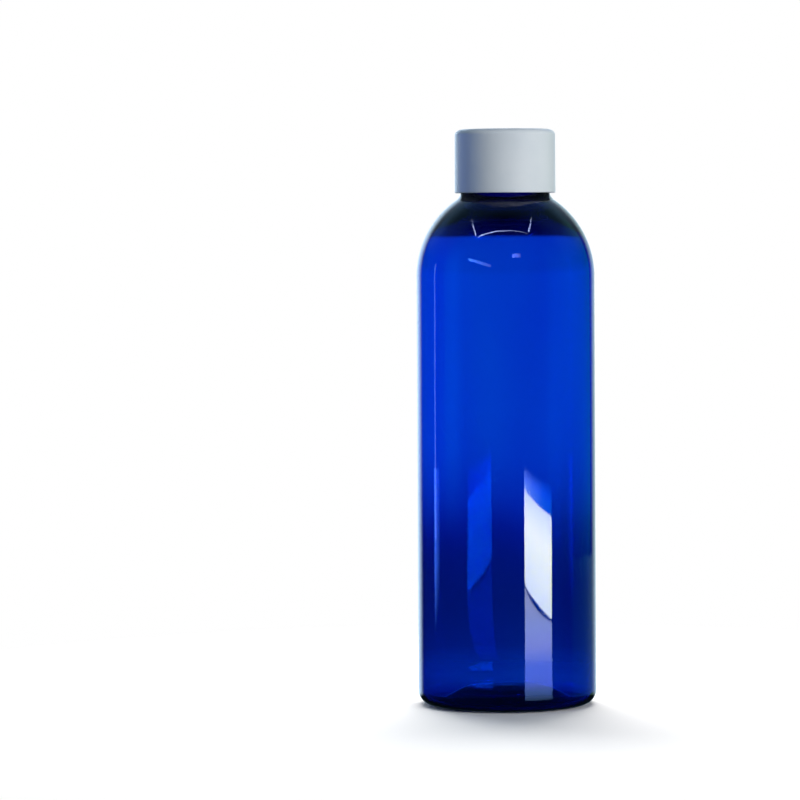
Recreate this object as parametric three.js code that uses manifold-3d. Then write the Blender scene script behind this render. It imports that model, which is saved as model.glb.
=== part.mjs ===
// A tall round 200 ml PET bottle with a 24/410 screw neck, the plain screw cap that
// closes it and the foam liner that the cap presses on the lip. The bottle is closed.
// Millimetres, +Z up. The origin is on the axis, at the level the bottle stands on.

import * as THREE from "three";
import { mergeVertices } from "three/addons/utils/BufferGeometryUtils.js";
import Module from "manifold-3d";

const wasm = await Module();
wasm.setup();

// ---- Driving dimensions -------------------------------------------------------------

const SIDES = 60; // facets round every turned piece
const SHOULDER_STEPS = 9; // facets up the inside of the shoulder

// Blow-moulded body
const BODY_R = 23.5; // under the shoulder
const FOOT_R = 23.6; // above the heel
const BODY_TOP = 113.3; // where the side wall turns into the shoulder
const SHOULDER_ARC = 24.5; // radius of the shoulder's arc, seen from the side
const HEEL_ARC = 3.4;
const HEEL_LIFT = 0.3; // how much higher the inner heel's centre is than the outer one's
const WALL = 0.6;
const BASE_WALL = 1.3;
const SHOULDER_WALL = 1.9; // where the shoulder meets the neck
const THICK_FROM = 23.5; // degrees up the shoulder's arc where its wall starts to thicken
const THICK_TO = 52; // and where it is thickest

// Push-up inside the standing ring, with the gate left by the preform
const RING_INNER_R = 18.2;
const PUSH_UP_EDGE_R = 9.5; // where the nearly flat middle bends down to the ring
const PUSH_UP_EDGE = 3.15;
const PUSH_UP_HEIGHT = 3.3;
const GATE_R = 1.6;
const GATE_DEPTH = 0.5;

// Neck finish, as moulded on the preform
const COLLAR_R = 11.65;
const COLLAR_TOP = 139.9;
const COLLAR_FILLET = 3.0;
const COLLAR_EDGE = 0.25;
const NECK_R = 10.8;
const BORE_R = 8.8;
const BORE_FILLET = 3.0;
const LIP = 150.6;
const LIP_ROUND = 0.5;
const LIP_EDGE = 0.3; // bevel inside the lip

// Thread, right-hand, 8 turns to the inch; angles are anticlockwise seen from above
const PITCH = 3.175;
const THREAD_HEIGHT = 1.05;
const THREAD_DROP = 2.4; // from the lip to the middle of the thread's upper end
const THREAD_TOP_ANGLE = -90; // the upper end is at the front
const THREAD_TURNS = 1.5;
const THREAD_FADE = 36; // degrees over which each end rises out of the wall
const THREAD_STEP = 12; // degrees between sections
const THREAD_ROOT = 0.35; // how deep the thread's root lies in the wall
const THREAD_END = 0.8; // how much of the root's depth is left at the thread's ends
const STEEP_ROOT = 0.8; // heights of the section's corners above its middle, on the steep side
const STEEP_CREST = 0.45;
const SLOPED_CREST = -0.05; // and on the sloped side
const SLOPED_CORNER = -0.3;
const SLOPED_ROOT = -1.35;
const CORNER_DEPTH = 0.2; // how far the sloped side's corner lies below the crest

// Screw cap
const CAP_R = 13.3;
const CAP_TOP_R = 13.24;
const CAP_BOTTOM = 135.3;
const CAP_TOP = 152.2;
const CAP_EDGE_ACROSS = 2.2; // the top edge's rounding, measured across the cap
const CAP_EDGE_DROP = 1.5; // and down it
const CAP_RIM_ROUND = 0.3;
const SKIRT_BORE_R = 12.05;
const CAP_THREAD_HEIGHT = 1.0;
const CAP_THREAD_TURNS = 1.6;
const CAP_THREAD_TOP_ANGLE = -140;
const CAP_THREAD_OFFSET = 1.42; // how far the cap's thread lies below the bottle's
const LINER_BORE_R = 11.2; // the narrower bore round the liner
const LINER_STEP = 149.2; // where the skirt's bore narrows
const PANEL_DISH_R = 8.3;
const PANEL_DISH_DEPTH = 0.2;
const PANEL_NUB_R = 0.9;

// Liner
const LINER_R = 10.45;
const LINER_THICKNESS = 0.8; // squeezed between the cap and the lip
const SEAT_GAP = 0.05; // left open under and over the liner, where the real one is squeezed tight

const LINER_BOTTOM = LIP + SEAT_GAP;
const LINER_TOP = LINER_BOTTOM + LINER_THICKNESS;
const PANEL_UNDERSIDE = LINER_TOP + SEAT_GAP;

// ---- Colours --------------------------------------------------------------------------

const cobaltPet = new THREE.MeshStandardMaterial({
  color: 0x0d2fbf,
  roughness: 0.08,
  metalness: 0,
  transparent: true,
  opacity: 0.75,
});
const whitePolypropylene = new THREE.MeshStandardMaterial({
  color: 0xdfe5ea,
  roughness: 0.35,
  metalness: 0,
});
const whiteFoam = new THREE.MeshStandardMaterial({
  color: 0xe6e6ee,
  roughness: 0.8,
  metalness: 0,
});

// ---- Outlines and solids ----------------------------------------------------------------

const point = (r, z) => new THREE.Vector2(r, z);

// Points along a circular arc in the (radius, height) plane; angles in degrees from +r.
function arc(centreR, centreZ, radius, fromAngle, toAngle, steps) {
  const points = [];
  for (let i = 0; i <= steps; i += 1) {
    const angle = THREE.MathUtils.degToRad(fromAngle + ((toAngle - fromAngle) * i) / steps);
    points.push(point(centreR + radius * Math.cos(angle), centreZ + radius * Math.sin(angle)));
  }
  return points;
}

// Points along an S-shaped curve that leaves its start and arrives at its end level.
function levelCurve(start, end, steps) {
  const points = [];
  for (let i = 0; i <= steps; i += 1) {
    const ease = 0.5 - 0.5 * Math.cos((Math.PI * i) / steps);
    points.push(point(start.x + ((end.x - start.x) * i) / steps, start.y + (end.y - start.y) * ease));
  }
  return points;
}

// Turns a closed outline, listed anticlockwise, about the Z axis.
function turned(outline) {
  return new THREE.LatheGeometry(outline, SIDES).rotateX(Math.PI / 2);
}

// A closed three.js geometry as a manifold solid.
function solid(geometry) {
  const bare = geometry.clone();
  bare.deleteAttribute("normal");
  bare.deleteAttribute("uv");
  const merged = mergeVertices(bare);
  const corners = merged.index.array;
  const triangles = [];
  for (let i = 0; i < corners.length; i += 3) {
    const [a, b, c] = [corners[i], corners[i + 1], corners[i + 2]];
    if (a !== b && b !== c && c !== a) {
      triangles.push(a, b, c);
    }
  }
  const mesh = new wasm.Mesh({
    numProp: 3,
    vertProperties: Float32Array.from(merged.attributes.position.array),
    triVerts: Uint32Array.from(triangles),
  });
  return new wasm.Manifold(mesh);
}

// A manifold solid as a named three.js mesh.
function named(name, manifold, material) {
  const mesh = manifold.getMesh();
  const geometry = new THREE.BufferGeometry();
  geometry.setAttribute("position", new THREE.BufferAttribute(mesh.vertProperties, 3));
  geometry.setIndex(new THREE.BufferAttribute(mesh.triVerts, 1));
  geometry.computeVertexNormals();
  const piece = new THREE.Mesh(geometry, material);
  piece.name = name;
  return piece;
}

// ---- Threads ----------------------------------------------------------------------------

// A helix about the Z axis. Its section's x is measured along the radius, away from the
// axis when outward is 1 and towards it when outward is -1, and its y is straight up.
// The section shrinks along x at both ends, so that the thread sinks into its wall.
class ThreadPath extends THREE.Curve {
  constructor(radius, topAngle, topHeight, turns, outward, endScale) {
    super();
    Object.assign(this, { radius, topAngle, topHeight, turns, outward, endScale });
  }

  // Degrees round the thread from its upper end. The path starts at the upper end on an
  // external thread and at the lower end on an internal one, and so its faces look outward.
  degreesFromTop(u) {
    return 360 * this.turns * (this.outward > 0 ? u : 1 - u);
  }

  angle(u) {
    return THREE.MathUtils.degToRad(this.topAngle - this.degreesFromTop(u));
  }

  getPoint(u, target = new THREE.Vector3()) {
    const angle = this.angle(u);
    const height = this.topHeight - (PITCH * this.degreesFromTop(u)) / 360;
    return target.set(this.radius * Math.cos(angle), this.radius * Math.sin(angle), height);
  }

  computeFrenetFrames(steps) {
    const frames = { tangents: [], normals: [], binormals: [] };
    for (let i = 0; i <= steps; i += 1) {
      const u = i / steps;
      const angle = this.angle(u);
      const fromEnd = 360 * this.turns * Math.min(u, 1 - u);
      const scale = THREE.MathUtils.lerp(this.endScale, 1, Math.min(1, fromEnd / THREAD_FADE));
      const reach = this.outward * scale;
      frames.tangents.push(this.getTangent(u));
      frames.normals.push(new THREE.Vector3(reach * Math.cos(angle), reach * Math.sin(angle), 0));
      frames.binormals.push(new THREE.Vector3(0, 0, 1));
    }
    return frames;
  }
}

// A thread's ridge: steep flank on the side that pulls the cap down, sloped on the other.
// steepSide is -1 when the steep flank faces down and 1 when it faces up.
function threadRidge(wallRadius, height, outward, steepSide, topAngle, topHeight, turns) {
  const reach = THREAD_ROOT + height;
  const section = new THREE.Shape();
  section.moveTo(0, steepSide * STEEP_ROOT);
  section.lineTo(reach, steepSide * STEEP_CREST);
  section.lineTo(reach, steepSide * SLOPED_CREST);
  section.lineTo(reach - CORNER_DEPTH, steepSide * SLOPED_CORNER);
  section.lineTo(0, steepSide * SLOPED_ROOT);
  section.closePath();
  const endScale = (THREAD_END * THREAD_ROOT) / reach;
  const rootRadius = wallRadius - outward * THREAD_ROOT;
  const path = new ThreadPath(rootRadius, topAngle, topHeight, turns, outward, endScale);
  const steps = Math.round((360 * turns) / THREAD_STEP);
  return new THREE.ExtrudeGeometry(section, { extrudePath: path, steps, curveSegments: 1 });
}

// Height of the bottle's thread at an angle on its upper turn.
function threadHeight(angle) {
  return LIP - THREAD_DROP + (PITCH * (angle - THREAD_TOP_ANGLE)) / 360;
}

// ---- Bottle -----------------------------------------------------------------------------

// Where a fillet that runs up a cylinder touches the shoulder arc of the given radius:
// the fillet's centre height and the angle, in degrees, of the shoulder at the touch.
function shoulderFillet(shoulderArc, cylinderR, fillet) {
  const acrossFromCentre = cylinderR + fillet - (BODY_R - SHOULDER_ARC);
  const reach = shoulderArc + fillet;
  const rise = Math.sqrt(reach * reach - acrossFromCentre * acrossFromCentre);
  const touch = THREE.MathUtils.radToDeg(Math.atan2(rise, acrossFromCentre));
  return { z: BODY_TOP + rise, touch };
}

// Wall thickness at an angle up the shoulder's arc: blown thin below, thick at the neck.
function shoulderWall(degreesUp) {
  const thickened = THREE.MathUtils.smoothstep(degreesUp, THICK_FROM, THICK_TO);
  return THREE.MathUtils.lerp(WALL, SHOULDER_WALL, thickened);
}

function bottleOutside() {
  const shoulderCentre = BODY_R - SHOULDER_ARC;
  const fillet = shoulderFillet(SHOULDER_ARC, COLLAR_R, COLLAR_FILLET);
  return [
    point(0, PUSH_UP_HEIGHT - GATE_DEPTH),
    point(GATE_R - 0.4, PUSH_UP_HEIGHT - GATE_DEPTH),
    point(GATE_R, PUSH_UP_HEIGHT),
    ...levelCurve(point(PUSH_UP_EDGE_R, PUSH_UP_EDGE), point(RING_INNER_R, 0), 6),
    ...arc(FOOT_R - HEEL_ARC, HEEL_ARC, HEEL_ARC, -90, 0, 5),
    ...arc(shoulderCentre, BODY_TOP, SHOULDER_ARC, 0, fillet.touch, 9),
    ...arc(COLLAR_R + COLLAR_FILLET, fillet.z, COLLAR_FILLET, 180 + fillet.touch, 180, 3),
    point(COLLAR_R, COLLAR_TOP - COLLAR_EDGE),
    point(COLLAR_R - COLLAR_EDGE, COLLAR_TOP),
    point(NECK_R, COLLAR_TOP),
    ...arc(NECK_R - LIP_ROUND, LIP - LIP_ROUND, LIP_ROUND, 0, 90, 2),
  ];
}

function bottleInside() {
  const shoulderCentre = BODY_R - SHOULDER_ARC;
  const fillet = shoulderFillet(SHOULDER_ARC - SHOULDER_WALL, BORE_R, BORE_FILLET);
  const shoulder = [];
  for (let i = 1; i <= SHOULDER_STEPS; i += 1) {
    const degreesUp = fillet.touch * (1 - i / SHOULDER_STEPS);
    const insideArc = SHOULDER_ARC - shoulderWall(degreesUp);
    shoulder.push(arc(shoulderCentre, BODY_TOP, insideArc, degreesUp, 0, 1)[0]);
  }
  return [
    point(BORE_R + LIP_EDGE, LIP),
    point(BORE_R, LIP - LIP_EDGE),
    ...arc(BORE_R + BORE_FILLET, fillet.z, BORE_FILLET, 180, 180 + fillet.touch, 3),
    ...shoulder,
    ...arc(FOOT_R - HEEL_ARC, HEEL_ARC + HEEL_LIFT, HEEL_ARC - WALL, 0, -90, 3),
    ...levelCurve(
      point(RING_INNER_R + 1, BASE_WALL - 0.25),
      point(PUSH_UP_EDGE_R, PUSH_UP_EDGE + BASE_WALL),
      6,
    ),
    point(0, PUSH_UP_HEIGHT + BASE_WALL),
  ];
}

function bottle() {
  const body = solid(turned([...bottleOutside(), ...bottleInside()]));
  const ridge = threadRidge(
    NECK_R,
    THREAD_HEIGHT,
    1,
    -1,
    THREAD_TOP_ANGLE,
    threadHeight(THREAD_TOP_ANGLE),
    THREAD_TURNS,
  );
  return body.add(solid(ridge));
}

// ---- Cap and liner ------------------------------------------------------------------------

function capOutline() {
  const rimR = CAP_R - CAP_RIM_ROUND;
  const dish = PANEL_UNDERSIDE + PANEL_DISH_DEPTH;
  const topEdge = arc(0, 0, 1, 0, 90, 6).map((unit) =>
    point(
      CAP_TOP_R - CAP_EDGE_ACROSS * (1 - unit.x),
      CAP_TOP - CAP_EDGE_DROP * (1 - unit.y),
    ),
  );
  return [
    point(SKIRT_BORE_R + 0.25, CAP_BOTTOM),
    ...arc(rimR, CAP_BOTTOM + CAP_RIM_ROUND, CAP_RIM_ROUND, -90, 0, 2),
    ...topEdge,
    point(0, CAP_TOP),
    point(0, PANEL_UNDERSIDE),
    point(PANEL_NUB_R - 0.3, PANEL_UNDERSIDE),
    point(PANEL_NUB_R, dish),
    point(PANEL_DISH_R - 0.4, dish),
    point(PANEL_DISH_R, PANEL_UNDERSIDE),
    point(LINER_BORE_R - 0.3, PANEL_UNDERSIDE),
    point(LINER_BORE_R, PANEL_UNDERSIDE - 0.3),
    point(LINER_BORE_R, LINER_STEP + 0.4),
    point(SKIRT_BORE_R, LINER_STEP - 0.4),
    point(SKIRT_BORE_R, CAP_BOTTOM + 0.5),
    point(SKIRT_BORE_R + 0.25, CAP_BOTTOM),
  ];
}

function screwCap() {
  const shell = solid(turned(capOutline()));
  const topHeight = threadHeight(CAP_THREAD_TOP_ANGLE) - CAP_THREAD_OFFSET;
  const ridge = threadRidge(
    SKIRT_BORE_R,
    CAP_THREAD_HEIGHT,
    -1,
    1,
    CAP_THREAD_TOP_ANGLE,
    topHeight,
    CAP_THREAD_TURNS,
  );
  return shell.add(solid(ridge));
}

function liner() {
  const edge = 0.12;
  return solid(
    turned([
      point(0, LINER_BOTTOM),
      point(LINER_R - edge, LINER_BOTTOM),
      point(LINER_R, LINER_BOTTOM + edge),
      point(LINER_R, LINER_TOP - edge),
      point(LINER_R - edge, LINER_TOP),
      point(0, LINER_TOP),
    ]),
  );
}

// ---- Assembly -----------------------------------------------------------------------------

const closedBottle = new THREE.Group();
closedBottle.add(
  named("bottle", bottle(), cobaltPet),
  named("liner", liner(), whiteFoam),
  named("screw_cap", screwCap(), whitePolypropylene),
);

export default closedBottle;
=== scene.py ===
"""A closed cobalt blue PET bottle with a white screw cap over a foam liner.

Lengths in the outline functions are millimetres; meshes, lights and camera are in metres.
"""

import math

import bmesh
import bpy
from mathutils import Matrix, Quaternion, Vector


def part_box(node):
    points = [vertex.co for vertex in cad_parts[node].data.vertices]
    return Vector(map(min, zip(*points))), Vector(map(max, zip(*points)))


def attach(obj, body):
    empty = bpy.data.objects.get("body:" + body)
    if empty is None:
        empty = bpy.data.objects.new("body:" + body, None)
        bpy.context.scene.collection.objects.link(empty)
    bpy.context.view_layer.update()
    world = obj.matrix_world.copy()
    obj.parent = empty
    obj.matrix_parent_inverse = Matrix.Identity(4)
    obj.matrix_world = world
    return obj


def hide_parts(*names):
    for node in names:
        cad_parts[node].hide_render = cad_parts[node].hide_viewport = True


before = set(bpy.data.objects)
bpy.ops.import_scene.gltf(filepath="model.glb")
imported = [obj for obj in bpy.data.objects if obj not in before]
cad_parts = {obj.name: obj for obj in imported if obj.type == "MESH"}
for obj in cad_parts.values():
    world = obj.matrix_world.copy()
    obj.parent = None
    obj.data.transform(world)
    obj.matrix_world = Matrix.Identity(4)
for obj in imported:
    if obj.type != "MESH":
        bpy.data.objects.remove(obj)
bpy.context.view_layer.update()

MM = 0.001
SIDES = 256  # facets round every turned piece

# ---- Sizes from the frame ---------------------------------------------------------------

bottle_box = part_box("bottle")
cap_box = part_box("screw_cap")
liner_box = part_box("liner")

LIP = bottle_box[1].z / MM
CAP_R = cap_box[1].x / MM
CAP_BOTTOM = cap_box[0].z / MM
CAP_TOP = cap_box[1].z / MM
LINER_R = liner_box[1].x / MM
LINER_BOTTOM = liner_box[0].z / MM
LINER_TOP = liner_box[1].z / MM

# ---- Sizes of what the frame's boxes don't give -------------------------------------------

SEAM = 0.025  # how far the mould's parting line stands out
SEAM_HALF_ANGLE_SINE = 0.02  # sine of half the angle from its crest to its edge
BOX_GAP = 0.005  # how far the line's edge stays inside the CAD model's box
TAPER = 0.08  # how much slimmer the side is at the shoulder than at the foot
FOOT_R = bottle_box[1].x / MM - SEAM - BOX_GAP
BODY_R = FOOT_R - TAPER
BODY_TOP = 113.3
SHOULDER_ARC = 24.5
HEEL_ARC = 3.4
HEEL_LIFT = 0.3  # how far the inner heel's centre is above the outer one's
WALL = 0.6
WALL_WAVE = 0.035  # size of the inner face's unevenness
THICK_FROM = 25.0  # degrees up the shoulder where the wall starts to thicken
THICK_TO = 52.0
SHOULDER_WALL = 1.9
BASE_WALL = 1.3

RING_INNER_R = 18.2  # the ring that the bottle stands on
INNER_FOOT_R = RING_INNER_R + 1.0
INNER_FOOT_Z = BASE_WALL - 0.25
PUSH_UP = 3.3
PUSH_UP_EDGE_R = 9.5
PUSH_UP_EDGE_Z = PUSH_UP - 0.15
PUSH_UP_FLAT = ((3.0, PUSH_UP), (8.0, PUSH_UP - 0.1))
GATE_R = 1.2
GATE_EDGE = 0.3
GATE_DROP = 0.5
GATE_FILLET_R = 1.9

COLLAR_R = 11.65
COLLAR_TOP = 139.9
COLLAR_FILLET = 3.0
COLLAR_EDGE = 0.25
NECK_R = 10.8
NECK_ROOT = 0.3
BORE_R = 8.8
BORE_FILLET = 3.0
LIP_EDGE = 0.5
LIP_INNER_EDGE = 0.35

PITCH = 3.175
THREAD_HEIGHT = 1.05
THREAD_TOP = LIP - 2.4
THREAD_TOP_ANGLE = -90.0
THREAD_TURNS = 1.5
THREAD_FADE = 36.0
CAP_THREAD_HEIGHT = 1.0
CAP_THREAD_TURNS = 1.6
CAP_THREAD_TOP_ANGLE = -140.0
CAP_THREAD_OFFSET = 1.42

EDGE_ACROSS = 2.2  # the cap's rounded top edge
EDGE_DROP = 1.5
CAP_CROWN = 0.1  # how far the panel's middle stands above its edge
CAP_DRAFT = 0.06
CAP_RIM = 0.3
SKIRT_BORE_R = 12.05
SKIRT_INNER_RIM = 0.25
LINER_BORE_R = 11.2
LINER_STEP = 149.2
LINER_EDGE = 0.14
PANEL = LINER_TOP + 0.05
PANEL_FILLET = 0.3
DISH_DEPTH = 0.2
DISH_R = (7.6, 8.6)  # at its floor and at its rim
CAP_GATE_R = 0.6


# ---- Outlines -----------------------------------------------------------------------------


def arc(centre_r, centre_z, radius, start, end, steps):
    """Points along a circular arc in the (radius, height) plane; angles in degrees."""
    points = []
    for i in range(steps + 1):
        angle = math.radians(start + (end - start) * i / steps)
        points.append((centre_r + radius * math.cos(angle), centre_z + radius * math.sin(angle)))
    return points


def line(start, end, steps):
    """Evenly spaced points on a straight line, both ends included."""
    return [
        tuple(a + (b - a) * i / steps for a, b in zip(start, end)) for i in range(steps + 1)
    ]


def blend(start, end, steps):
    """An S-shaped curve that leaves and arrives level."""
    points = []
    for i in range(steps + 1):
        t = i / steps
        ease = 0.5 - 0.5 * math.cos(math.pi * t)
        points.append((start[0] + (end[0] - start[0]) * t, start[1] + (end[1] - start[1]) * ease))
    return points


def smooth(x):
    """0 below 0, 1 above 1, smooth between."""
    x = min(1.0, max(0.0, x))
    return x * x * (3 - 2 * x)


# ---- Turned meshes ------------------------------------------------------------------------


def turned(name, rows):
    """A closed mesh turned about Z. A row is (radius, height, relief), in millimetres, and
    relief is None or a function of the angle and height that is added to the radius."""
    bm = bmesh.new()
    rings = []
    for radius, height, relief in rows:
        if radius < 1e-6:
            rings.append([bm.verts.new((0, 0, height * MM))])
            continue
        ring = []
        for i in range(SIDES):
            angle = 2 * math.pi * i / SIDES
            r = (radius + (relief(angle, height) if relief else 0.0)) * MM
            ring.append(bm.verts.new((r * math.cos(angle), r * math.sin(angle), height * MM)))
        rings.append(ring)
    for low, high in zip(rings, rings[1:]):
        for i in range(SIDES):
            j = (i + 1) % SIDES
            around = ((low, i), (low, j), (high, j), (high, i))
            corners = [ring[k % len(ring)] for ring, k in around]
            bm.faces.new(list(dict.fromkeys(corners)))
    bmesh.ops.recalc_face_normals(bm, faces=bm.faces)
    mesh = bpy.data.meshes.new(name)
    bm.to_mesh(mesh)
    bm.free()
    for face in mesh.polygons:
        face.use_smooth = True
    piece = bpy.data.objects.new(name, mesh)
    bpy.context.scene.collection.objects.link(piece)
    return piece


def rows(points, relief=None):
    """Rows for turned() from (radius, height) points."""
    return [(r, z, relief) for r, z in points]


# ---- Threads ------------------------------------------------------------------------------


def ridge(distance, height):
    """Height of a thread's ridge at a distance above its crest line. The flank towards
    negative distances is steep, and the other one is sloped. Averaged to round its corners."""
    outline = ((-0.72, 0.0), (-0.45, 1.0), (0.05, 1.0), (0.3, 0.8), (1.04, 0.0))
    shifts = (-0.1, -0.05, 0.0, 0.05, 0.1)
    total = 0.0
    for shift in shifts:
        x = distance + shift
        for (x0, y0), (x1, y1) in zip(outline, outline[1:]):
            if x0 <= x <= x1:
                total += y0 + (y1 - y0) * (x - x0) / (x1 - x0)
    return height * total / len(shifts)


def thread(top_angle, top_height, turns, height, steep_side):
    """The relief of a right-hand thread, as a function of angle and height. steep_side is
    -1 where the steep flank faces down and 1 where it faces up."""

    def relief(angle, z):
        best = 0.0
        below = (top_angle - math.degrees(angle)) % 360.0
        while below <= 360.0 * turns:
            fade = min(below, 360.0 * turns - below) / THREAD_FADE
            centre = top_height - PITCH * below / 360.0
            best = max(best, ridge(-steep_side * (z - centre), height) * smooth(fade))
            below += 360.0
        return best

    return relief


def bottle_thread_height(angle):
    """Height of the bottle's thread at an angle in degrees, on its top turn."""
    return THREAD_TOP + PITCH * (angle - THREAD_TOP_ANGLE) / 360.0


# ---- Bottle -------------------------------------------------------------------------------


def parting_line(angle, _z):
    """The faint ridge where the two mould halves met, at the left and right sides."""
    away = min(abs(math.sin(angle / 2)), abs(math.cos(angle / 2)))
    return SEAM * max(0.0, 1 - away / SEAM_HALF_ANGLE_SINE)


def wall_waves(angle, z):
    """Slow unevenness of the blown wall's inner face."""
    wave = math.cos(2 * angle + 0.6)
    wave += 0.6 * math.cos(5 * angle + z / 31.0)
    wave += 0.4 * math.cos(9 * angle - z / 23.0)
    return WALL_WAVE * wave


def shoulder_fillet(shoulder_arc, shoulder_centre, cylinder_r, fillet):
    """Centre height of a fillet between a cylinder and the shoulder, and the angle in
    degrees of the shoulder's arc where they touch."""
    across = cylinder_r + fillet - shoulder_centre
    rise = math.sqrt((shoulder_arc + fillet) ** 2 - across**2)
    return BODY_TOP + rise, math.degrees(math.atan2(rise, across))


def base_outside():
    """The gate mark, the push-up and the inner side of the standing ring."""
    gate_bottom = PUSH_UP - GATE_DROP
    return (
        rows([(0, gate_bottom)])
        + rows(arc(GATE_R, gate_bottom + GATE_EDGE, GATE_EDGE, -90, 0, 4))
        + rows(arc(GATE_FILLET_R, PUSH_UP - 0.25, GATE_EDGE, 150, 90, 3))
        + rows(line(*PUSH_UP_FLAT, 3))
        + rows(blend((PUSH_UP_EDGE_R, PUSH_UP_EDGE_Z), (RING_INNER_R, 0.0), 18))
    )


def side(foot_r, top_r, relief):
    """The straight side between the heel and the shoulder."""
    return rows(line((foot_r, HEEL_ARC), (top_r, BODY_TOP), 26)[1:-1], relief)


def bottle_outside():
    centre = BODY_R - SHOULDER_ARC
    fillet_z, touch = shoulder_fillet(SHOULDER_ARC, centre, COLLAR_R, COLLAR_FILLET)
    neck_thread = thread(THREAD_TOP_ANGLE, THREAD_TOP, THREAD_TURNS, THREAD_HEIGHT, -1)
    return (
        base_outside()
        + rows(arc(FOOT_R - HEEL_ARC, HEEL_ARC, HEEL_ARC, -90, 0, 14), parting_line)
        + side(FOOT_R, BODY_R, parting_line)
        + rows(arc(centre, BODY_TOP, SHOULDER_ARC, 0, touch, 44), parting_line)
        + rows(arc(COLLAR_R + COLLAR_FILLET, fillet_z, COLLAR_FILLET, 180 + touch, 180, 12)[1:])
        + rows(arc(COLLAR_R - COLLAR_EDGE, COLLAR_TOP - COLLAR_EDGE, COLLAR_EDGE, 0, 90, 5))
        + rows(arc(NECK_R + NECK_ROOT, COLLAR_TOP + NECK_ROOT, NECK_ROOT, 270, 180, 5))
        + rows(line((NECK_R, COLLAR_TOP + 0.6), (NECK_R, LIP - 0.8), 92), neck_thread)
        + rows(arc(NECK_R - LIP_EDGE, LIP - LIP_EDGE, LIP_EDGE, 0, 90, 7))
    )


def shoulder_wall(degrees_up):
    """Wall thickness at an angle up the shoulder's arc: blown thin below, thick at the neck."""
    share = (degrees_up - THICK_FROM) / (THICK_TO - THICK_FROM)
    return WALL + (SHOULDER_WALL - WALL) * smooth(share)


def bottle_inside():
    centre = BODY_R - SHOULDER_ARC
    fillet_z, touch = shoulder_fillet(SHOULDER_ARC - SHOULDER_WALL, centre, BORE_R, BORE_FILLET)
    steps = 60
    shoulder = []
    for i in range(1, steps + 1):
        degrees_up = touch * (1 - i / steps)
        inner_arc = SHOULDER_ARC - shoulder_wall(degrees_up)
        shoulder += arc(centre, BODY_TOP, inner_arc, degrees_up, 0, 1)[:1]
    flat = [(r, z + BASE_WALL) for r, z in line(*PUSH_UP_FLAT, 3)]
    flat_edge = (PUSH_UP_EDGE_R, PUSH_UP_EDGE_Z + BASE_WALL)
    return (
        rows(arc(BORE_R + LIP_INNER_EDGE, LIP - LIP_INNER_EDGE, LIP_INNER_EDGE, 90, 180, 5))
        + rows(line((BORE_R, LIP - 1.5), (BORE_R, fillet_z + 0.5), 8))
        + rows(arc(BORE_R + BORE_FILLET, fillet_z, BORE_FILLET, 180, 180 + touch, 10))
        + rows(shoulder, wall_waves)
        + list(reversed(side(FOOT_R - WALL, BODY_R - WALL, wall_waves)))
        + rows(arc(FOOT_R - HEEL_ARC, HEEL_ARC + HEEL_LIFT, HEEL_ARC - WALL, 0, -90, 12))
        + rows(blend((INNER_FOOT_R, INNER_FOOT_Z), flat_edge, 18))
        + rows(reversed(flat))
        + rows([(0, PUSH_UP + BASE_WALL + 0.1)])
    )


# ---- Cap and liner --------------------------------------------------------------------------


def cap_outside():
    top_edge = CAP_TOP - CAP_CROWN
    skirt_top = top_edge - EDGE_DROP
    top_r = CAP_R - CAP_DRAFT - EDGE_ACROSS
    quarter = arc(0, 0, 1, 0, 88, 16)
    edge = [(top_r + EDGE_ACROSS * x, skirt_top + EDGE_DROP * z) for x, z in quarter]
    bottom = line((SKIRT_BORE_R + SKIRT_INNER_RIM, CAP_BOTTOM), (CAP_R - CAP_RIM, CAP_BOTTOM), 3)
    return (
        rows(bottom[1:3])
        + rows(arc(CAP_R - CAP_RIM, CAP_BOTTOM + CAP_RIM, CAP_RIM, -90, 0, 5))
        + rows(line((CAP_R, CAP_BOTTOM + 0.8), (CAP_R - CAP_DRAFT, skirt_top - 0.4), 12))
        + rows(edge)
        + rows(line((top_r - 0.8, top_edge + 0.02), (0, CAP_TOP), 9))
    )


def cap_inside():
    dish = PANEL + DISH_DEPTH
    thread_top = bottle_thread_height(CAP_THREAD_TOP_ANGLE) - CAP_THREAD_OFFSET
    inner = thread(CAP_THREAD_TOP_ANGLE, thread_top, CAP_THREAD_TURNS, CAP_THREAD_HEIGHT, 1)
    step = line(
        (LINER_BORE_R + 0.06, LINER_STEP + 0.35), (SKIRT_BORE_R - 0.06, LINER_STEP - 0.35), 4
    )
    bore = line((SKIRT_BORE_R, LINER_STEP - 0.6), (SKIRT_BORE_R, CAP_BOTTOM + 0.8), 120)
    rim = SKIRT_INNER_RIM
    return (
        rows([(0, PANEL)])
        + rows(arc(CAP_GATE_R, PANEL + 0.12, 0.12, 270, 360, 3))
        + rows(arc(CAP_GATE_R + 0.4, dish - 0.1, 0.1, 180, 90, 3))
        + rows(blend((DISH_R[0], dish), (DISH_R[1], PANEL), 6))
        + rows(line((DISH_R[1] + 0.8, PANEL), (LINER_BORE_R - 0.5, PANEL), 3))
        + rows(arc(LINER_BORE_R - PANEL_FILLET, PANEL - PANEL_FILLET, PANEL_FILLET, 90, 0, 4))
        + rows(line((LINER_BORE_R, PANEL - 0.8), (LINER_BORE_R, LINER_STEP + 0.6), 4))
        + rows(step)
        + rows(bore, lambda angle, z: -inner(angle, z))
        + rows(arc(SKIRT_BORE_R + rim, CAP_BOTTOM + rim, rim, 180, 270, 4))
    )


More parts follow.
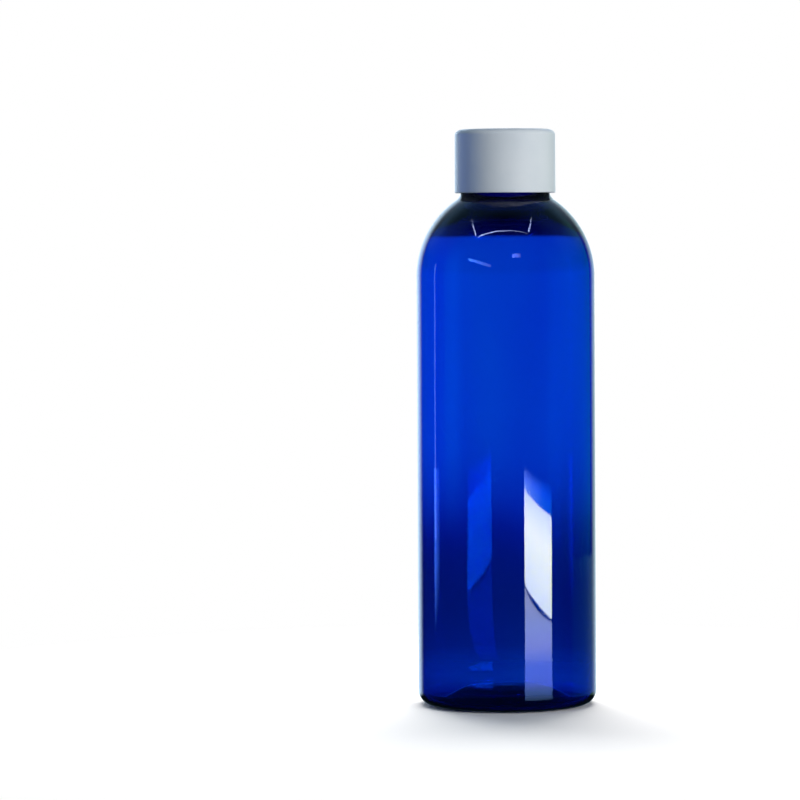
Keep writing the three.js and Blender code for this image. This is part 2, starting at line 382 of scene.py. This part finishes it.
def liner_outline():
    bottom = line((1.0, LINER_BOTTOM), (LINER_R - 0.6, LINER_BOTTOM), 10)
    top = line((LINER_R - 0.6, LINER_TOP), (1.0, LINER_TOP), 10)
    return rows(
        [(0, LINER_BOTTOM)]
        + bottom
        + arc(LINER_R - LINER_EDGE, LINER_BOTTOM + LINER_EDGE, LINER_EDGE, -90, 0, 4)
        + arc(LINER_R - LINER_EDGE, LINER_TOP - LINER_EDGE, LINER_EDGE, 0, 90, 4)
        + top
        + [(0, LINER_TOP)]
    )


# ---- Materials --------------------------------------------------------------------------------


def new_material(name):
    material = bpy.data.materials.new(name)
    material.use_nodes = True
    tree = material.node_tree
    return material, tree, tree.nodes["Principled BSDF"], tree.nodes["Material Output"]


def noise(tree, scale, detail=3.0, stretch=(1, 1, 1)):
    """A noise texture in the object's own coordinates, scale in waves per metre."""
    place = tree.nodes.new("ShaderNodeTexCoord")
    mapping = tree.nodes.new("ShaderNodeMapping")
    mapping.inputs["Scale"].default_value = stretch
    texture = tree.nodes.new("ShaderNodeTexNoise")
    texture.inputs["Scale"].default_value = scale
    texture.inputs["Detail"].default_value = detail
    tree.links.new(place.outputs["Object"], mapping.inputs["Vector"])
    tree.links.new(mapping.outputs["Vector"], texture.inputs["Vector"])
    return texture.outputs["Fac"]


def mapped(tree, source, low, high, from_low=0.3, from_high=0.7):
    """The source, with from_low to from_high stretched to low to high and held at the ends."""
    node = tree.nodes.new("ShaderNodeMapRange")
    node.inputs["From Min"].default_value = from_low
    node.inputs["From Max"].default_value = from_high
    node.inputs["To Min"].default_value = low
    node.inputs["To Max"].default_value = high
    tree.links.new(source, node.inputs["Value"])
    return node.outputs["Result"]


def mixed(tree, kind, factor, first, second):
    """A mix of two values of one kind, RGBA or FLOAT, each a socket or a constant."""
    node = tree.nodes.new("ShaderNodeMix")
    node.data_type = kind
    tree.links.new(factor, node.inputs["Factor"])
    for name, value in (("A", first), ("B", second)):
        if isinstance(value, bpy.types.NodeSocket):
            tree.links.new(value, node.inputs[name])
        elif kind == "RGBA":
            node.inputs[name].default_value = (*value, 1)
        else:
            node.inputs[name].default_value = value
    return node.outputs["Result"]


def ramp(tree, source, low, high, stops):
    """A colour that runs through two or more (value, colour) stops between low and high."""
    node = tree.nodes.new("ShaderNodeValToRGB")
    elements = node.color_ramp.elements
    while len(elements) < len(stops):
        elements.new(0.5)
    for element, (value, colour) in zip(elements, stops):
        element.position = (value - low) / (high - low)
        element.color = (*colour, 1)
    tree.links.new(mapped(tree, source, 0, 1, low, high), node.inputs["Fac"])
    return node.outputs["Color"]


def distance(tree):
    """Distance from the object's own origin."""
    place = tree.nodes.new("ShaderNodeTexCoord")
    length = tree.nodes.new("ShaderNodeVectorMath")
    length.operation = "LENGTH"
    tree.links.new(place.outputs["Object"], length.inputs[0])
    return length.outputs["Value"]


def bump(tree, source, strength, depth):
    node = tree.nodes.new("ShaderNodeBump")
    node.inputs["Strength"].default_value = strength
    node.inputs["Distance"].default_value = depth
    tree.links.new(source, node.inputs["Height"])
    return node.outputs["Normal"]


def cobalt_pet():
    """Clear polyester, coloured through: the colour comes from how much plastic the light
    crosses, so the neck and base are darker than the thin side wall."""
    material, tree, shader, output = new_material("cobalt_pet")
    shader.inputs["Transmission Weight"].default_value = 1.0
    shader.inputs["IOR"].default_value = 1.575
    tone = mapped(tree, noise(tree, 60), 0, 1)
    tint = mixed(tree, "RGBA", tone, (0.9, 0.94, 1.0), (1.0, 1.0, 1.0))
    tree.links.new(tint, shader.inputs["Base Color"])
    rough = mapped(tree, noise(tree, 220, 5), 0.012, 0.04)
    tree.links.new(rough, shader.inputs["Roughness"])
    ripple = noise(tree, 45, 2, stretch=(1, 1, 0.35))
    tree.links.new(bump(tree, ripple, 0.12, 0.0006), shader.inputs["Normal"])
    body = tree.nodes.new("ShaderNodeVolumeAbsorption")
    body.inputs["Color"].default_value = (0.03, 0.64, 0.934, 1)
    body.inputs["Density"].default_value = 7000.0
    tree.links.new(body.outputs["Volume"], output.inputs["Volume"])
    return material


def white_polypropylene():
    """Satin moulded polypropylene, very slightly uneven in tone and finish."""
    material, tree, shader, _ = new_material("white_polypropylene")
    tone = mapped(tree, noise(tree, 90, 4), 0, 1)
    colour = mixed(tree, "RGBA", tone, (0.80, 0.84, 0.86), (0.86, 0.89, 0.90))
    tree.links.new(colour, shader.inputs["Base Color"])
    rough = mapped(tree, noise(tree, 700, 4), 0.3, 0.42)
    tree.links.new(rough, shader.inputs["Roughness"])
    shader.inputs["IOR"].default_value = 1.49
    shader.inputs["Coat Weight"].default_value = 0.2
    shader.inputs["Coat Roughness"].default_value = 0.12
    shader.inputs["Subsurface Weight"].default_value = 0.12
    shader.inputs["Subsurface Radius"].default_value = (1.0, 1.0, 1.0)
    shader.inputs["Subsurface Scale"].default_value = 0.0008
    grain = noise(tree, 2600, 3)
    tree.links.new(bump(tree, grain, 0.18, 0.00003), shader.inputs["Normal"])
    return material


def white_foam():
    """Closed-cell polyethylene foam: small cells that dimple a matt surface. Its colour is darker
    towards each cell's edge, and tinted lavender by painted blue bounce light.
    """
    material, tree, shader, _ = new_material("white_foam")
    cells = tree.nodes.new("ShaderNodeTexVoronoi")
    cells.inputs["Scale"].default_value = 2600.0
    place = tree.nodes.new("ShaderNodeTexCoord")
    tree.links.new(place.outputs["Object"], cells.inputs["Vector"])
    shade = mapped(tree, cells.outputs["Distance"], 1, 0, 0.0, 0.6)
    # Painted blue bounce light: both colours are lavender, though the foam itself is white.
    colour = mixed(tree, "RGBA", shade, (0.72, 0.72, 0.80), (0.88, 0.88, 0.93))
    tree.links.new(colour, shader.inputs["Base Color"])
    rough = mapped(tree, noise(tree, 900), 0.65, 0.85)
    tree.links.new(rough, shader.inputs["Roughness"])
    shader.inputs["Subsurface Weight"].default_value = 0.2
    shader.inputs["Subsurface Scale"].default_value = 0.001
    dimples = bump(tree, cells.outputs["Distance"], 0.5, 0.00012)
    tree.links.new(dimples, shader.inputs["Normal"])
    return material


# ---- Pieces -----------------------------------------------------------------------------------


def add_piece(name, outline, material, body, node):
    piece = turned(name, outline)
    piece.data.materials.append(material)
    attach(piece, body)
    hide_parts(node)
    return piece


def add_object():
    blown = bottle_outside() + bottle_inside()
    moulded = cap_inside() + cap_outside()
    polypropylene = white_polypropylene()
    add_piece("bottle_blown", blown, cobalt_pet(), "bottle", "bottle")
    add_piece("liner_wad", liner_outline(), white_foam(), "liner", "liner")
    add_piece("cap_moulding", moulded, polypropylene, "cap", "screw_cap")


# ---- Camera, lights and floor -----------------------------------------------------------------

CAMERA_PLACE = (-0.0281, -1.008, 0.1277)
CAMERA_TARGET = (-0.0281, 0.0, 0.0807)
CAMERA_ROLL = -0.34  # degrees
CAMERA_LENS = 171.4  # millimetres, on a sensor 36 mm wide
LIGHT_TARGET = 0.08  # height on the bottle's axis, about the middle of the bottle
FLOOR_R = 0.6
FLOOR_DROP = 0.0002  # below the bottle's standing ring


def add_camera():
    """Level with the shoulder and about a metre away, with the bottle right of centre."""
    data = bpy.data.cameras.new("camera")
    data.sensor_width = 36.0
    data.lens = CAMERA_LENS
    camera = bpy.data.objects.new("camera", data)
    bpy.context.scene.collection.objects.link(camera)
    camera.location = CAMERA_PLACE
    aim = (Vector(CAMERA_TARGET) - camera.location).to_track_quat("-Z", "Y")
    roll = Quaternion((0, 0, 1), math.radians(CAMERA_ROLL))
    camera.rotation_euler = (aim @ roll).to_euler()
    bpy.context.scene.camera = camera


def towards(azimuth, elevation, reach, height):
    """A place at a direction from a point on the bottle's axis: azimuth 0 is the front, 90
    the right."""
    side = math.radians(azimuth)
    up = math.radians(elevation)
    flat = reach * math.cos(up)
    return (flat * math.sin(side), -flat * math.cos(side), height + reach * math.sin(up))


def add_area_light(name, azimuth, elevation, reach, size, power, colour, height=LIGHT_TARGET):
    """A soft light that only matt surfaces see, pointed at a height on the bottle's axis."""
    data = bpy.data.lights.new(name, "AREA")
    data.shape = "SQUARE"
    data.size = size
    data.energy = power
    data.color = colour
    light = bpy.data.objects.new(name, data)
    bpy.context.scene.collection.objects.link(light)
    light.location = towards(azimuth, elevation, reach, height)
    aim = Vector((0, 0, height)) - light.location
    light.rotation_euler = aim.to_track_quat("-Z", "Y").to_euler()
    light.visible_glossy = False
    light.visible_transmission = False
    light.visible_camera = False
    return light


def only(name, receiver):
    """A collection that links a light to one receiver."""
    lit = bpy.data.collections.new(name)
    lit.objects.link(receiver)
    return lit


def add_lights(floor):
    add_area_light(
        "key", azimuth=45, elevation=15, reach=1.0, size=0.5, power=6.8, colour=(1.0, 1.0, 0.98)
    )
    add_area_light(
        "rim", azimuth=-150, elevation=5, reach=1.0, size=0.5, power=9.0, colour=(0.8, 0.92, 1.0)
    )
    behind = add_area_light(
        "behind",
        azimuth=180,
        elevation=52,
        reach=0.9,
        size=0.75,
        power=14.8,
        colour=(1.0, 0.98, 0.95),
        height=0,
    )
    behind.light_linking.receiver_collection = only("floor_only", floor)


def pale_floor():
    """A pale matt finish that fades out at its edge. Seen through the plastic it is smaller,
    because it gives way there to the room's own gradient, and its colour there is painted shade,
    much darker."""
    material, tree, shader, _ = new_material("pale_floor")
    shader.inputs["Roughness"].default_value = 0.6
    shader.inputs["Specular IOR Level"].default_value = 0.0
    through = tree.nodes.new("ShaderNodeLightPath").outputs["Is Transmission Ray"]
    # Painted shade: rays through the plastic see the floor in a much darker colour than the camera
    # does.
    colour = mixed(tree, "RGBA", through, (0.915, 0.905, 0.895), (0.3, 0.3, 0.34))
    tree.links.new(colour, shader.inputs["Base Color"])
    from_axis = distance(tree)
    direct = mapped(tree, from_axis, 1.0, 0.0, 0.1, 0.2)
    refracted = mapped(tree, from_axis, 1.0, 0.0, 0.06, 0.14)
    alpha = mixed(tree, "FLOAT", through, direct, refracted)
    tree.links.new(alpha, shader.inputs["Alpha"])
    return material


def add_floor():
    """A round table top that fades into the white background."""
    bm = bmesh.new()
    bmesh.ops.create_circle(bm, cap_ends=True, segments=96, radius=FLOOR_R)
    mesh = bpy.data.meshes.new("floor")
    bm.to_mesh(mesh)
    bm.free()
    floor = bpy.data.objects.new("floor", mesh)
    bpy.context.scene.collection.objects.link(floor)
    floor.location.z = -FLOOR_DROP
    mesh.materials.append(pale_floor())
    floor.visible_glossy = False
    floor.visible_diffuse = False
    return floor


# ---- Cards: what the plastic mirrors ----------------------------------------------------------

VIEW_SIDE = 1.6  # degrees that the camera looks to the right where it sees the bottle
WHITE = (1, 1, 1)
EVEN = [(0, WHITE), (1, WHITE)]  # the same from a card's foot to its head


def mirrored(wall_angle, reach, height):
    """The place that the camera sees mirrored in the side wall at an angle from the front:
    that far from the wall, at a height above the table."""
    wall = math.radians(wall_angle)
    side = math.radians(2 * wall_angle + VIEW_SIDE)
    radius = BODY_R * MM
    x = radius * math.sin(wall) + reach * math.sin(side)
    y = -radius * math.cos(wall) - reach * math.cos(side)
    return (x, y, height)


def across_and_up(across, up):
    """Light whose colour is the product of two runs of colours: evenly spaced from the
    card's first column to its last, and (share of the height, colour) from foot to head."""

    def paint(tree):
        place = tree.nodes.new("ShaderNodeTexCoord")
        split = tree.nodes.new("ShaderNodeSeparateXYZ")
        tree.links.new(place.outputs["UV"], split.inputs["Vector"])
        last = len(across) - 1
        spread = [(i / last, colour) for i, colour in enumerate(across)]
        product = tree.nodes.new("ShaderNodeVectorMath")
        product.operation = "MULTIPLY"
        tree.links.new(ramp(tree, split.outputs["X"], 0, 1, spread), product.inputs[0])
        tree.links.new(ramp(tree, split.outputs["Y"], 0, 1, up), product.inputs[1])
        return product.outputs["Vector"]

    return paint


def fading(colour):
    """Light of one colour at the card's first column, fading to a dim white at its last."""
    return across_and_up([colour, WHITE], EVEN)


def by_radius(near, far, stops):
    """Light whose colour depends on the distance from the bottle's axis."""

    def paint(tree):
        return ramp(tree, distance(tree), near, far, stops)

    return paint


def reflected_strength(tree, inside_share):
    """A card's strength: none to rays that haven't been reflected, a share of it to those
    reflected inside the plastic, and none to those that come steeply from inside it."""
    geometry = tree.nodes.new("ShaderNodeNewGeometry")
    split = tree.nodes.new("ShaderNodeSeparateXYZ")
    tree.links.new(geometry.outputs["Incoming"], split.inputs["Vector"])
    kept = mapped(tree, split.outputs["Z"], inside_share, 0.0, 0.2, 0.3)
    paths = tree.nodes.new("ShaderNodeLightPath")
    inside = mapped(tree, paths.outputs["Transmission Depth"], 0, 1, 0, 1)
    reflected = mapped(tree, paths.outputs["Glossy Depth"], 0, 1, 0, 1)
    strength = tree.nodes.new("ShaderNodeMath")
    strength.operation = "MULTIPLY"
    tree.links.new(reflected, strength.inputs[0])
    tree.links.new(mixed(tree, "FLOAT", inside, 1.0, kept), strength.inputs[1])
    return strength.outputs["Value"]


def glowing(name, paint, inside_share):
    """A clear material that adds its light to what is behind it."""
    material, tree, shader, output = new_material(name)
    tree.nodes.remove(shader)
    glow = tree.nodes.new("ShaderNodeEmission")
    tree.links.new(paint(tree), glow.inputs["Color"])
    tree.links.new(reflected_strength(tree, inside_share), glow.inputs["Strength"])
    clear = tree.nodes.new("ShaderNodeBsdfTransparent")
    both = tree.nodes.new("ShaderNodeAddShader")
    tree.links.new(clear.outputs["BSDF"], both.inputs[0])
    tree.links.new(glow.outputs["Emission"], both.inputs[1])
    tree.links.new(both.outputs["Shader"], output.inputs["Surface"])
    return material


def add_card(name, columns, paint, inside_share=1.0):
    """A glowing card that only reflections see: a strip through columns of two points each,
    the foot and the head."""
    points = [tuple(point) for column in columns for point in column]
    quads = [(2 * i, 2 * i + 2, 2 * i + 3, 2 * i + 1) for i in range(len(columns) - 1)]
    mesh = bpy.data.meshes.new(name)
    mesh.from_pydata(points, [], quads)
    places = mesh.uv_layers.new(name="UVMap")
    for loop in mesh.loops:
        column, end = divmod(loop.vertex_index, 2)
        places.data[loop.index].uv = (column / (len(columns) - 1), end)
    card = bpy.data.objects.new(name, mesh)
    bpy.context.scene.collection.objects.link(card)
    mesh.materials.append(glowing(name, paint, inside_share))
    card.visible_camera = False
    card.visible_diffuse = False
    card.visible_shadow = False


def add_wall_card(name, reach, columns, paint):
    """An upright card seen mirrored in the side wall, with columns of (wall angle, height
    of the foot, height of the head)."""
    ends = [
        (mirrored(angle, reach, low), mirrored(angle, reach, high)) for angle, low, high in columns
    ]
    add_card(name, ends, paint)


def add_window():
    """The window at the front right, whose leaning outline shows in the side wall, the
    evening sky over it, and the light that it throws on the table in front of it."""
    left, right = 9.75, 28.5
    reach = 0.207
    up = [(0, (12.2, 13.6, 10.8)), (0.65, (16.5, 17.2, 10.4)), (1, (11.5, 13.0, 11.5))]
    columns = [(left, 0.0142, 0.0445), (right, 0.0029, 0.0352)]
    add_wall_card("window", reach, columns, across_and_up([WHITE, WHITE], up))
    dusk = [(2.6, 4.6, 6.2), (0.9, 2.7, 6.2), (0.1, 1.5, 5.2), (0.0, 1.0, 4.4)]
    dimming = [(0.0, WHITE), (0.5, (0.6, 0.6, 1.0)), (1.0, (0, 0, 0))]
    columns = [(left, 0.0446, 0.0515), (right, 0.0353, 0.046)]
    add_wall_card("sky", reach, columns, across_and_up(dusk, dimming))
    near = 0.012
    just_above = 0.001
    columns = [
        (mirrored(left, near, just_above), mirrored(left, 0.337, just_above)),
        (mirrored(right, near, just_above), mirrored(right, 0.217, just_above)),
    ]
    stops = [
        (0.035, (0.3, 0.6, 1.2)),
        (0.05, (0.8, 1.6, 3.6)),
        (0.07, (1.2, 1.9, 5.7)),
        (0.12, (1.4, 2.3, 6.8)),
        (0.17, (3.5, 4.2, 7.8)),
        (0.23, (3.8, 4.8, 7.6)),
        (0.30, (4.4, 5.0, 6.5)),
    ]
    add_card("table_glow", columns, by_radius(0.0, 0.4, stops), inside_share=0.45)


def add_glints():
    """Small distant lights that show low on the shoulder: a streak and a spot, given by the
    azimuth and the two elevations of each of their ends."""
    glints = [
        ("streak", (1.0, 3.6, 9.0), (-52, 17.6, 20.6), (-20, 11.1, 14.6)),
        ("spot", (2.2, 3.5, 10.0), (8, 23.5, 27.8), (19.3, 23.1, 27.4)),
    ]
    reach = 1
    shoulder = 0.115
    for name, colour, *ends in glints:
        columns = [
            (towards(azimuth, low, reach, shoulder), towards(azimuth, high, reach, shoulder))
            for azimuth, low, high in ends
        ]
        add_card(name, columns, fading(colour))


def add_strips():
    """Narrow lights: the edges of a soft box overhead, which draw three thin lines on the
    shoulder, and blue light from the left that runs down the side wall."""
    height = 0.62
    width = 0.012
    front = -0.31
    slats = [
        ("box_front", (-0.356, front), (0.27, front), (0, -width)),
        ("box_left", (-0.385, -0.27), (-0.32, 0.01), (width, 0)),
        ("box_right", (0.262, -0.27), (0.23, -0.03), (width, 0)),
    ]
    for name, start, end, (across, along_y) in slats:
        columns = [
            ((x, y, height), (x + across, y + along_y, height)) for x, y in (start, end)
        ]
        add_card(name, columns, fading((14.0, 17.0, 30.0)))
    line_ends = [(-54.9, 0.02, 0.166), (-53.6, 0.02, 0.166)]
    add_wall_card("blue_line", 0.3, line_ends, fading((0.22, 1.25, 3.6)))
    foot_ends = [(-55.6, -0.012, 0.045), (-50.4, 0.0, 0.045)]
    foot_colours = [(0.4, 1.4, 5.0), (0.06, 0.22, 0.8)]
    rising = [(0, (0, 0, 0)), (0.4, WHITE)]
    add_wall_card("blue_foot", 0.29, foot_ends, across_and_up(foot_colours, rising))


ROOM_REACH = 0.7


def add_room_wall(name, colours, foot):
    """A dim wall of the room at one side, with (wall angle, colour) columns. It fades in
    between the two heights of its foot, and fades out over the upper half to its head."""
    low, high = -0.1, 0.62
    fade = [
        ((foot[0] - low) / (high - low), (0, 0, 0)),
        ((foot[1] - low) / (high - low), WHITE),
        (0.5, WHITE),
        (1.0, (0, 0, 0)),
    ]
    columns = [(angle, low, high) for angle, _ in colours]
    paint = across_and_up([colour for _, colour in colours], fade)
    add_wall_card(name, ROOM_REACH, columns, paint)


def add_walls():
    left = [
        (-72.0, (0.0, 0.1, 0.6)),
        (-57.5, (0.0, 0.15, 1.3)),
        (-51.0, (0.0, 0.1, 1.4)),
        (-45.2, (0.0, 0.12, 1.4)),
        (-43.8, (0.0, 0.25, 1.4)),
        (-37.0, (0.0, 0.3, 1.5)),
        (-29.0, (0.0, 0.03, 0.4)),
        (-19.0, (0.0, 0.0, 0.0)),
    ]
    right = [
        (26.3, (0.0, 0.08, 0.0)),
        (48.1, (0.0, 0.17, 0.0)),
        (49.0, (0.0, 0.17, 0.0)),
        (68.4, (0.0, 0.22, 0.03)),
    ]
    add_room_wall("left_wall", left, (-0.012, 0.03))
    add_room_wall("right_wall", right, (-0.03, 0.004))
    colours = [(0.0, 0.05, 0.0), (0.02, 0.12, 0.05), (0.12, 0.25, 0.15)]
    columns = [(angle, -0.13, -0.02) for angle in (45.0, 60.0, 72.0)]
    add_wall_card("low_right", ROOM_REACH, columns, across_and_up(colours, EVEN))


# ---- World ------------------------------------------------------------------------------------

ROOM = (0.006, 0.012, 0.02)  # the dim room in front of the bottle
AMBIENT = (0.12, 0.16, 0.22)  # what lights matt surfaces


def seen_through(tree, rise):
    """What shows through the plastic by how steeply a ray rises: a lit backdrop that is dark
    overhead, with a darker band along its foot and the table below that."""
    stops = [
        (-0.3, (0.55, 0.55, 0.58)),
        (-0.16, (0.45, 0.45, 0.48)),
        (-0.112, (0.32, 0.26, 0.36)),
        (-0.1, (0.25, 0.18, 0.28)),
        (-0.088, (0.3, 0.16, 0.32)),
        (-0.08, (0.4, 0.2, 0.48)),
        (-0.0724, (0.7, 0.5, 0.78)),
        (-0.062, (0.95, 0.9, 0.98)),
        (-0.05, (1.0, 1.05, 1.04)),
        (0.02, (1.0, 1.0, 1.04)),
        (0.06, (0.7, 0.72, 0.76)),
        (0.15, (0.1, 0.1, 0.12)),
    ]
    return ramp(tree, rise, -0.3, 0.3, stops)


def mirrored_backdrop(tree, sideways, depth, rise):
    """What the side wall mirrors: the dim room, and the backdrop behind the bottle."""
    lit = [(0.76, 0.0), (0.79, 0.06), (0.815, 0.2), (0.86, 0.65), (0.91, 1.0)]
    behind = ramp(tree, depth, 0.7, 1.0, [(back, (share,) * 3) for back, share in lit])
    level = mapped(tree, rise, 0, 1, -0.22, -0.14)
    side = mapped(tree, sideways, 0, 1, -0.3, 0.3)
    backdrop = mixed(tree, "RGBA", side, (1.1, 1.5, 1.95), (0.6, 0.85, 0.95))
    backdrop = mixed(tree, "RGBA", level, ROOM, backdrop)
    return mixed(tree, "RGBA", behind, ROOM, backdrop)


def mirrored_overhead(tree, depth):
    """What the shoulder mirrors from above, brighter towards the back."""
    stops = [
        (-0.25, ROOM),
        (0.0, (0.03, 0.075, 0.17)),
        (0.4, (0.05, 0.12, 0.22)),
        (0.6, (0.13, 0.26, 0.42)),
        (0.72, (0.18, 0.31, 0.45)),
        (0.81, (0.33, 0.43, 0.6)),
        (0.86, (0.47, 0.62, 0.85)),
        (0.93, (0.7, 0.9, 1.15)),
        (1.0, (0.9, 1.1, 1.3)),
    ]
    return ramp(tree, depth, -1.0, 1.0, stops)


def add_world():
    """A white studio: the camera sees plain white, and the plastic shows a backdrop through
    itself and mirrors a room."""
    world = bpy.data.worlds.new("studio")
    bpy.context.scene.world = world
    world.use_nodes = True
    tree = world.node_tree
    place = tree.nodes.new("ShaderNodeTexCoord")
    split = tree.nodes.new("ShaderNodeSeparateXYZ")
    tree.links.new(place.outputs["Generated"], split.inputs["Vector"])
    sideways, depth, rise = (split.outputs[axis] for axis in "XYZ")
    low = mirrored_backdrop(tree, sideways, depth, rise)
    high = mirrored_overhead(tree, depth)
    glossy = mixed(tree, "RGBA", mapped(tree, rise, 0, 1, 0.2, 0.55), low, high)
    rays = tree.nodes.new("ShaderNodeLightPath").outputs
    colour = mixed(tree, "RGBA", rays["Is Glossy Ray"], AMBIENT, glossy)
    colour = mixed(tree, "RGBA", rays["Is Transmission Ray"], colour, seen_through(tree, rise))
    colour = mixed(tree, "RGBA", rays["Is Camera Ray"], colour, (1.0, 1.0, 1.0))
    tree.links.new(colour, tree.nodes["Background"].inputs["Color"])


def add_studio():
    add_camera()
    add_world()
    add_lights(add_floor())
    add_window()
    add_strips()
    add_glints()
    add_walls()
    bpy.context.scene.view_settings.view_transform = "Standard"


add_object()
add_studio()
